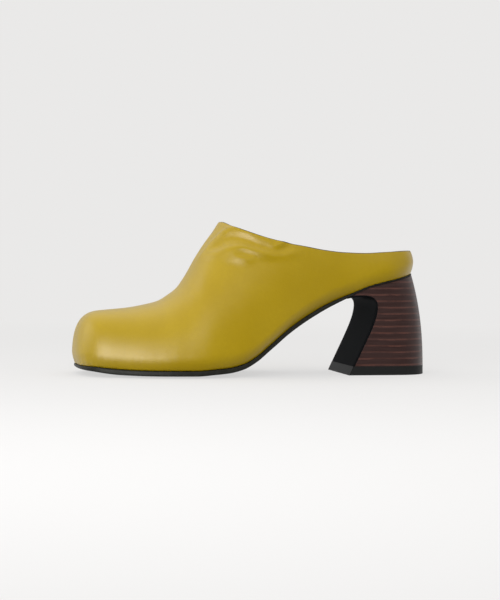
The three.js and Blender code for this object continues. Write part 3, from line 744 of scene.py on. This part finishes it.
def soften(piece, width):
    """Rounds a piece's sharp edges a little, so that they catch the light."""
    modifier = piece.modifiers.new("edges", "BEVEL")
    modifier.width = width
    modifier.segments = 3
    modifier.limit_method = "ANGLE"
    modifier.angle_limit = math.radians(40)
    modifier.harden_normals = True


def breast_end(line):
    """Where a line down the breast meets the heel's foot, as x and z."""
    shin = line[: -SHIN_POINTS - 1 : -1]
    return np.interp(HEEL_FOOT_LEVEL, shin[:, 1], shin[:, 0]), HEEL_FOOT_LEVEL


def make_cover(material):
    """The black sheet over the breast, with rounded long edges."""
    face, back = breast_profile(0.0), breast_profile(COVER_THICKNESS)
    keep = (face[:, 0] > LIP_X + COVER_SETBACK) | (np.arange(len(face)) > len(face) // 2)
    keep &= face[:, 1] > HEEL_FOOT_LEVEL + COVER_THICKNESS
    face, back = (np.concatenate([line[keep], [breast_end(line)]]) for line in (face, back))
    back[:, 1] = np.minimum(back[:, 1], heel_top(back[:, 0]))
    radius = ROUND_SHARE * COVER_THICKNESS
    turn = np.linspace(0, QUARTER, 5)
    inward, depth = radius * (1 - np.sin(turn[::-1])), radius * (1 - np.cos(turn[::-1]))
    half = heel_half(face[:, 1])[:, None]
    down = (back - face) / COVER_THICKNESS
    across = np.linspace(-1, 1, 15)
    y = np.concatenate([-half + inward, (half - radius) * across, half - inward[::-1]], 1)
    sunk = np.concatenate([depth, 0 * across, depth[::-1]])
    front = np.stack([face[:, :1] + down[:, :1] * sunk, y, face[:, 1:] + down[:, 1:] * sunk], -1)
    behind = np.stack([0 * y + back[:, :1], y, 0 * y + back[:, 1:]], -1)
    behind[:, :, 1] = np.clip(behind[:, :, 1], -half, half)
    skin = Skin()
    skin.grid(front)
    skin.grid(behind, flip=True)
    for edge in (0, -1):
        skin.grid(np.stack([front[:, edge], behind[:, edge]], 1), flip=edge == 0)
        skin.grid(np.stack([front[edge], behind[edge]]), flip=edge == -1)
    return skin.object("breast_sheet", [material], crease_angle=50)


class Nodes:
    """A shader's node tree, with short names for the nodes that the finishes and the studio share."""

    def __init__(self, tree):
        self.tree = tree

    def node(self, kind, settings=(), **sockets):
        made = self.tree.nodes.new(kind)
        for name, value in dict(settings).items():
            setattr(made, name, value)
        for name, value in sockets.items():
            self.feed(made.inputs[name.replace("_", " ")], value)
        return made

    def feed(self, socket, value):
        if isinstance(value, bpy.types.NodeSocket):
            self.tree.links.new(value, socket)
        else:
            socket.default_value = value

    def math(self, operation, a, b=0.0, c=0.0):
        made = self.tree.nodes.new("ShaderNodeMath")
        made.operation = operation
        for socket, value in zip(made.inputs, (a, b, c)):
            self.feed(socket, value)
        return made.outputs[0]

    def span(self, value, low, high, to_low=0.0, to_high=1.0):
        """A smooth step from to_low to to_high while the value goes from low to high."""
        made = self.node("ShaderNodeMapRange", {"interpolation_type": "SMOOTHSTEP"})
        names = ("Value", "From Min", "From Max", "To Min", "To Max")
        for name, given in zip(names, (value, low, high, to_low, to_high)):
            self.feed(made.inputs[name], given)
        return made.outputs["Result"]

    def mix(self, share, a, b):
        made = self.node("ShaderNodeMix", {"data_type": "RGBA"})
        colours = [socket for socket in made.inputs if socket.type == "RGBA"]
        self.feed(made.inputs["Factor"], share)
        for socket, value in zip(colours, (a, b)):
            self.feed(socket, value if isinstance(value, bpy.types.NodeSocket) else (*value, 1))
        return [socket for socket in made.outputs if socket.type == "RGBA"][0]


# Each finish's mean colour, then its darkest and its lightest shade, as linear light.
MUSTARD = ((0.42, 0.28, 0.001), (0.41, 0.272, 0.001), (0.435, 0.292, 0.0012))
MUSTARD_GRAIN = (0.39, 0.258, 0.001)
# A dark colour over the whole rolled edge of the collar, where a thin dark line shows.
DARK_EDGE = ((0.06, 0.04, 0.01), (0.045, 0.03, 0.008), (0.085, 0.06, 0.015))
LINING = ((0.03, 0.024, 0.02), (0.024, 0.019, 0.016), (0.04, 0.032, 0.026))
SOLE_BLACK = ((0.019, 0.019, 0.016), (0.016, 0.016, 0.013), (0.028, 0.028, 0.023))
LIFT_BROWN = ((0.035, 0.0175, 0.015), (0.0285, 0.0126, 0.0115), (0.056, 0.027, 0.023))
LIFT_LINE_RED = (0.108, 0.044, 0.034)
MATT_BLACK = ((0.0055, 0.006, 0.0065), (0.0045, 0.005, 0.0055), (0.0075, 0.0085, 0.0095))
RUBBER_GREY = ((0.018, 0.0182, 0.018), (0.0145, 0.015, 0.0145), (0.0235, 0.024, 0.0235))


class Finish(Nodes):
    """A procedural material."""

    def __init__(self, name, colours, roughness, **values):
        colour, self.dark, self.light = colours
        self.material = bpy.data.materials.new(name)
        self.material.use_nodes = True
        super().__init__(self.material.node_tree)
        self.shader = self.tree.nodes["Principled BSDF"]
        self.shader.inputs["Base Color"].default_value = (*colour, 1)
        self.shader.inputs["Roughness"].default_value = roughness
        for socket, value in values.items():
            self.shader.inputs[socket.replace("_", " ")].default_value = value
        self.place = self.tree.nodes.new("ShaderNodeTexCoord").outputs["Object"]

    def shades(self, share):
        """Between the finish's darkest and its lightest shade."""
        return self.mix(share, self.dark, self.light)

    def noise(self, scale, detail, distortion=0.0, place=None):
        made = self.node("ShaderNodeTexNoise", Vector=place or self.place, Scale=scale, Detail=detail)
        made.inputs["Distortion"].default_value = distortion
        return made.outputs["Fac"]

    def cells(self, scale):
        """Small rounded cells, like pores."""
        made = self.node("ShaderNodeTexVoronoi", {"feature": "SMOOTH_F1"}, Vector=self.place, Scale=scale)
        made.inputs["Smoothness"].default_value = 0.6
        return made.outputs["Distance"]

    def bump(self, height, distance, strength):
        made = self.node("ShaderNodeBump", Height=height, Distance=distance, Strength=strength)
        return made.outputs["Normal"]

    def finish(self, colour, roughness=None, normal=None):
        """Links what varies over the surface and gives the material."""
        for socket, value in (("Base Color", colour), ("Roughness", roughness), ("Normal", normal)):
            if value:
                self.tree.links.new(value, self.shader.inputs[socket])
        return self.material


def smooth_leather():
    """The upper's mustard leather: smooth, with a soft gloss, a fine grain and slightly uneven dye."""
    leather = Finish("mustard_leather", MUSTARD, 0.34)
    clouds = leather.noise(26, 4, 0.4)
    colour = leather.shades(leather.span(clouds, 0.35, 0.65))
    fine = leather.noise(420, 5)
    colour = leather.mix(leather.span(fine, 0.3, 0.7, 0, 0.35), colour, MUSTARD_GRAIN)
    grain = leather.cells(1500)
    pores = leather.noise(2600, 2)
    wrinkle = leather.noise(330, 4, 0.8)
    height = leather.math("MULTIPLY_ADD", pores, 0.35, grain)
    height = leather.math("MULTIPLY_ADD", wrinkle, 1.2, height)
    normal = leather.bump(height, 0.00010, 0.3)
    rough = leather.span(clouds, 0.3, 0.7, 0.32, 0.37)
    return leather.finish(colour, rough, normal)


def edge_leather():
    """The dark colour over the rolled edge that shows along the collar."""
    edge = Finish("edge_leather", DARK_EDGE, 0.5)
    fibre = edge.noise(1800, 4)
    return edge.finish(edge.shades(fibre), normal=edge.bump(fibre, 0.00008, 0.5))


def lining_leather():
    """Dark, matt leather inside the upper and over the insole."""
    lining = Finish("lining_leather", LINING, 0.55)
    clouds = lining.noise(60, 4)
    grain = lining.math("MULTIPLY_ADD", lining.noise(900, 3), 0.6, lining.cells(1700))
    rough = lining.span(clouds, 0.3, 0.7, 0.48, 0.62)
    return lining.finish(lining.shades(clouds), rough, lining.bump(grain, 0.0001, 0.4))


def sole_leather():
    """The black outsole, with cloudy wax and a fine grain."""
    sole = Finish("sole_black", SOLE_BLACK, 0.42, Specular_IOR_Level=0.12)
    wax = sole.noise(300, 4)
    normal = sole.bump(sole.noise(1500, 4), 0.0001, 0.4)
    return sole.finish(sole.shades(wax), sole.span(wax, 0.3, 0.7, 0.34, 0.5), normal)


# Heights of the lowest and the highest line between the heel's lifts, and how many lines there are.
LIFT_LINES = (0.0071, 0.0592)
LIFT_COUNT = 13
LIFT_WANDER = 0.0012  # how far a line wanders up and down
FIBRE_SCALE = (60, 60, 900)  # the fibre is stretched along the lifts


def stacked_lifts():
    """The heel's dark brown lifts, with a thin reddish line between each two."""
    heel = Finish("stacked_brown", LIFT_BROWN, 0.4, Specular_IOR_Level=0.4)
    low, high = LIFT_LINES
    pitch = (high - low) / (LIFT_COUNT - 1)
    z = heel.node("ShaderNodeSeparateXYZ", Vector=heel.place).outputs["Z"]
    wander = heel.noise(70, 3)
    level = heel.math("MULTIPLY_ADD", heel.math("SUBTRACT", wander, 0.5), LIFT_WANDER, z)
    turn = heel.math("DIVIDE", heel.math("SUBTRACT", level, low - pitch / 2), pitch)
    off = heel.math("ABSOLUTE", heel.math("SUBTRACT", heel.math("FRACT", turn), 0.5))
    line = heel.span(off, 0.04, 0.2, 1, 0)
    stretched = heel.node("ShaderNodeVectorMath", {"operation": "MULTIPLY"}, Vector=heel.place)
    stretched.inputs[1].default_value = FIBRE_SCALE
    fibre = heel.noise(1.0, 5, 0.3, stretched.outputs[0])
    strength = heel.math("MULTIPLY", line, heel.span(heel.noise(140, 3), 0.3, 0.65, 0.35, 1))
    colour = heel.mix(strength, heel.shades(fibre), LIFT_LINE_RED)
    height = heel.math("MULTIPLY_ADD", fibre, 0.4, heel.math("MULTIPLY", line, -0.6))
    return heel.finish(colour, heel.span(fibre, 0.3, 0.7, 0.34, 0.46), heel.bump(height, 0.00012, 0.5))


def breast_black():
    """Matt black sheet over the breast."""
    black = Finish("breast_matt_black", MATT_BLACK, 0.55, Specular_IOR_Level=0.01)
    fine = black.noise(700, 4)
    return black.finish(black.shades(fine), normal=black.bump(fine, 0.00008, 0.4))


def heel_rubber():
    """Dark grey rubber of the top piece, slightly speckled."""
    rubber = Finish("top_piece_rubber", RUBBER_GREY, 0.5, Specular_IOR_Level=0.1)
    specks = rubber.noise(1600, 3)
    return rubber.finish(rubber.shades(specks), normal=rubber.bump(specks, 0.00008, 0.5))


def make_shoe():
    """Every piece, each standing for its node of the model."""
    lining = lining_leather()
    replace(make_upper(smooth_leather(), edge_leather(), lining), "upper")
    replace(make_insole(lining), "insole")
    replace(make_outsole(sole_leather()), "outsole")
    replace(make_heel(stacked_lifts()), "heel")
    replace(make_cover(breast_black()), "breast_cover")
    replace(make_top_piece(heel_rubber()), "top_piece")


# The photograph's view: from the outer side and a little in front, just above the floor, in degrees.
VIEW_TARGET = np.array([0.12, 0.0, 0.05016]) - MIDDLE
VIEW_DISTANCE = 1.0
VIEW_AZIMUTH = -12.5
VIEW_ELEVATION = 1.6
VIEW_ROLL = 0.55
PICTURE_HEIGHT = 600
METRES_PER_PIXEL = 0.000685  # at the shoe's distance
SENSOR = 36


def direction(azimuth, elevation):
    """The unit vector towards a light or a camera. Azimuth turns from the outer side's -Y towards +X."""
    a, e = math.radians(azimuth), math.radians(elevation)
    return Vector((math.sin(a) * math.cos(e), -math.cos(a) * math.cos(e), math.sin(e)))


def make_camera():
    """The camera that sees the shoe as the photograph does."""
    data = bpy.data.cameras.new("view")
    data.sensor_width = SENSOR
    data.lens = SENSOR * VIEW_DISTANCE / (METRES_PER_PIXEL * PICTURE_HEIGHT)
    data.clip_start = 0.01
    camera = bpy.data.objects.new("view", data)
    bpy.context.scene.collection.objects.link(camera)
    back = direction(VIEW_AZIMUTH, VIEW_ELEVATION)
    camera.location = Vector(VIEW_TARGET) + back * VIEW_DISTANCE
    camera.rotation_mode = "QUATERNION"
    camera.rotation_quaternion = Quaternion(back, math.radians(VIEW_ROLL)) @ (-back).to_track_quat("-Z", "Y")
    bpy.context.scene.camera = camera


BACKGROUND = (0.822, 0.815, 0.808)
FLOOR_HALF = 20.0
FLOOR_SHADE = 0.28  # share of the floor's brightness that a shadow can take away
FLOOR_FADE = (0.25, 0.85)  # distances from the shoe over which that share fades to nothing


def make_floor():
    """An even pale floor that shows soft shadows near the shoe. It throws no light back at the shoe."""
    black = (0, 0, 0)
    pale = Finish("pale_floor", (black, black, BACKGROUND), 1.0, Specular_IOR_Level=0.0)
    distance = pale.node("ShaderNodeVectorMath", {"operation": "LENGTH"}, Vector=pale.place)
    shade = pale.span(distance.outputs["Value"], *FLOOR_FADE, FLOOR_SHADE, 0.0)
    pale.shader.inputs["Emission Color"].default_value = (*BACKGROUND, 1)
    pale.feed(pale.shader.inputs["Emission Strength"], pale.math("SUBTRACT", 1.0, shade))
    pale.finish(pale.shades(shade))
    mesh = bpy.data.meshes.new("floor")
    corners = [(x * FLOOR_HALF, y * FLOOR_HALF, 0) for x, y in ((-1, -1), (1, -1), (1, 1), (-1, 1))]
    mesh.from_pydata(corners, [], [(0, 1, 2, 3)])
    mesh.materials.append(pale.material)
    floor = bpy.data.objects.new("floor", mesh)
    bpy.context.scene.collection.objects.link(floor)
    floor.visible_diffuse = False
    floor.visible_glossy = False
    floor.visible_shadow = False


# The lights round the shoe. Those with only give just the colour's light or just the shine.
SOFTBOXES = [
    dict(name="key", azimuth=-28, elevation=20, distance=0.75, size=(0.6, 0.42), energy=3.6, only="diffuse"),
    dict(name="sheen", azimuth=-41, elevation=3, distance=0.75, size=(0.54, 0.36), energy=4, only="glossy"),
    dict(name="left", azimuth=-98, elevation=22, distance=0.9, size=(0.7, 0.55), energy=1.4),
    dict(name="front", azimuth=10, elevation=30, distance=1.3, size=(0.55, 0.3), energy=0.5),
    dict(name="right", azimuth=50, elevation=25, distance=0.9, size=(0.6, 0.6), energy=1.5, only="diffuse"),
]


def make_softbox(name, azimuth, elevation, distance, size, energy, only=None):
    """A soft rectangular light that faces the shoe."""
    data = bpy.data.lights.new(name, "AREA")
    data.shape = "RECTANGLE"
    data.size, data.size_y = size
    data.energy = energy
    light = bpy.data.objects.new(name, data)
    bpy.context.scene.collection.objects.link(light)
    back = direction(azimuth, elevation)
    light.location = back * distance
    light.rotation_mode = "QUATERNION"
    light.rotation_quaternion = (-back).to_track_quat("-Z", "Y")
    light.visible_camera = False
    light.visible_diffuse = only != "glossy"
    light.visible_glossy = only != "diffuse"


def make_world():
    """Light from all round: bright above and behind, dark in front. To the eye it is an even pale wall."""
    world = bpy.data.worlds.new("studio")
    world.use_nodes = True
    bpy.context.scene.world = world
    nodes = Nodes(world.node_tree)
    around = nodes.node("ShaderNodeTexCoord").outputs["Generated"]
    towards = nodes.node("ShaderNodeSeparateXYZ", Vector=around).outputs
    above = nodes.math("MAXIMUM", towards["Z"], 0.0)
    overhead = nodes.span(towards["Z"], 0.2, 0.9, 0.02, 0.45)
    glow = nodes.math("MULTIPLY_ADD", nodes.math("POWER", above, 4.0), 0.55, overhead)
    behind = nodes.span(towards["Y"], -0.1, 0.5, 0.0, 0.6)
    toe_side = nodes.span(nodes.math("MULTIPLY", towards["X"], -1.0), 0.3, 0.9, 0.0, 0.3)
    heel_side = nodes.span(towards["X"], 0.7, 0.95, 0.0, 0.4)
    for share in (behind, toe_side, heel_side):
        glow = nodes.math("ADD", glow, share)
    below = nodes.span(nodes.math("MULTIPLY", towards["Z"], -1.0), -0.05, 0.12)
    ground = nodes.span(towards["X"], 0.2, 0.7, 0.1, 0.32)
    glow = nodes.math("MULTIPLY_ADD", below, ground, glow)
    seen = nodes.node("ShaderNodeLightPath").outputs["Is Camera Ray"]
    background = world.node_tree.nodes["Background"]
    nodes.feed(background.inputs["Color"], nodes.mix(seen, (1, 1, 1), BACKGROUND))
    nodes.feed(background.inputs["Strength"], nodes.span(seen, 0.0, 1.0, glow, 1.0))


def make_studio():
    """The light, the wall and the floor round the shoe."""
    bpy.context.scene.view_settings.view_transform = "Standard"
    make_world()
    for softbox in SOFTBOXES:
        make_softbox(**softbox)
    make_floor()


make_camera()
make_studio()
make_shoe()
